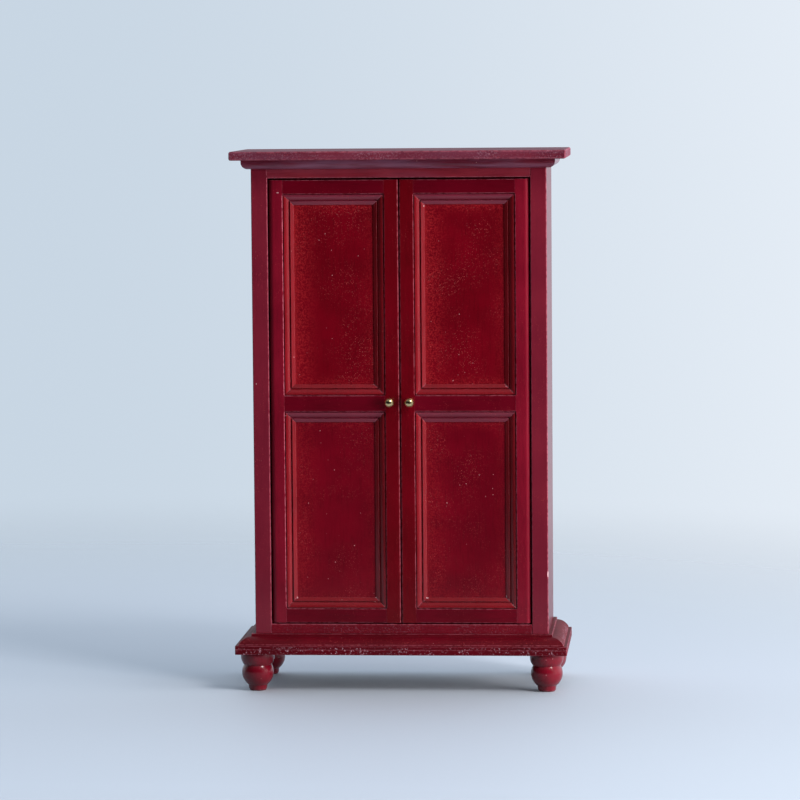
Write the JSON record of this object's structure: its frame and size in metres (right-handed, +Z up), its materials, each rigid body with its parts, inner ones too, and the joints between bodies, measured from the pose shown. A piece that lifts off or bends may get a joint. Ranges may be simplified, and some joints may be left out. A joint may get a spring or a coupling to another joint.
{
  "type": "miniature wardrobe",
  "caption": "Free-standing doll's house wardrobe in crimson lacquer: hinged panelled doors, brass knobs, moulded cornice, moulded plinth on turned feet, hat shelf and hanging rail inside.",
  "frame": {"origin": "on the floor, under the middle of the cornice board", "axes": "+Z up, the doors face -Y, +X to the right of someone who faces the doors"},
  "size_m": [0.105, 0.046, 0.17],
  "materials": {
    "carcass_lacquer": "glossy crimson lacquer over wood, worn at the edges",
    "trim_lacquer": "glossy crimson lacquer over wood, rough end grain at the ends",
    "foot_lacquer": "glossy crimson lacquer on turned wood",
    "door_lacquer": "glossy crimson lacquer over wood, worn at the edges",
    "panel_lacquer": "glossy crimson lacquer over wood, with fine dust nibs",
    "moulding_lacquer": "glossy crimson lacquer over wood",
    "inside_lacquer": "thin satin crimson lacquer over wood",
    "rail_lacquer": "satin crimson lacquer on a wooden dowel",
    "knob_brass": "polished brass",
    "pin_brass": "drawn brass wire"
  },
  "bodies": {
    "carcass": {"cornice_board": "trim_lacquer", "cornice_moulding_front": "trim_lacquer", "cornice_moulding_left": "trim_lacquer", "cornice_moulding_right": "trim_lacquer", "left_side_panel": "carcass_lacquer", "right_side_panel": "carcass_lacquer", "back_panel": "carcass_lacquer", "ceiling_board": "inside_lacquer", "floor_board": "inside_lacquer", "frame_left_stile": "carcass_lacquer", "frame_right_stile": "carcass_lacquer", "frame_top_rail": "carcass_lacquer", "frame_bottom_rail": "carcass_lacquer", "plinth_moulded_board": "trim_lacquer", "plinth_base_board": "trim_lacquer", "foot_front_left": "foot_lacquer", "foot_front_right": "foot_lacquer", "foot_rear_left": "foot_lacquer", "foot_rear_right": "foot_lacquer", "hat_shelf": "inside_lacquer", "left_shelf_bearer": "inside_lacquer", "right_shelf_bearer": "inside_lacquer", "hanging_rail": "rail_lacquer", "left_top_hinge_pin": "pin_brass", "left_bottom_hinge_pin": "pin_brass", "right_top_hinge_pin": "pin_brass", "right_bottom_hinge_pin": "pin_brass"},
    "left_door": {"left_hinge_stile": "door_lacquer", "left_meeting_stile": "door_lacquer", "left_top_rail": "door_lacquer", "left_mid_rail": "door_lacquer", "left_bottom_rail": "door_lacquer", "left_upper_panel": "panel_lacquer", "left_lower_panel": "panel_lacquer", "left_upper_moulding_top": "moulding_lacquer", "left_upper_moulding_bottom": "moulding_lacquer", "left_upper_moulding_hinge_side": "moulding_lacquer", "left_upper_moulding_meeting_side": "moulding_lacquer", "left_lower_moulding_top": "moulding_lacquer", "left_lower_moulding_bottom": "moulding_lacquer", "left_lower_moulding_hinge_side": "moulding_lacquer", "left_lower_moulding_meeting_side": "moulding_lacquer", "left_knob": "knob_brass"},
    "right_door": {"right_hinge_stile": "door_lacquer", "right_meeting_stile": "door_lacquer", "right_top_rail": "door_lacquer", "right_mid_rail": "door_lacquer", "right_bottom_rail": "door_lacquer", "right_upper_panel": "panel_lacquer", "right_lower_panel": "panel_lacquer", "right_upper_moulding_top": "moulding_lacquer", "right_upper_moulding_bottom": "moulding_lacquer", "right_upper_moulding_hinge_side": "moulding_lacquer", "right_upper_moulding_meeting_side": "moulding_lacquer", "right_lower_moulding_top": "moulding_lacquer", "right_lower_moulding_bottom": "moulding_lacquer", "right_lower_moulding_hinge_side": "moulding_lacquer", "right_lower_moulding_meeting_side": "moulding_lacquer", "right_knob": "knob_brass"}
  },
  "joints": [
    {"name": "left_door_hinge", "type": "hinge", "parent": "carcass", "child": "left_door", "pos_m": [-0.0393, -0.0149, 0.0911], "axis": [0, 0, -1], "range_deg": [0, 96]},
    {"name": "right_door_hinge", "type": "hinge", "parent": "carcass", "child": "right_door", "pos_m": [0.0393, -0.0149, 0.0911], "axis": [0, 0, 1], "range_deg": [0, 96]}
  ]
}
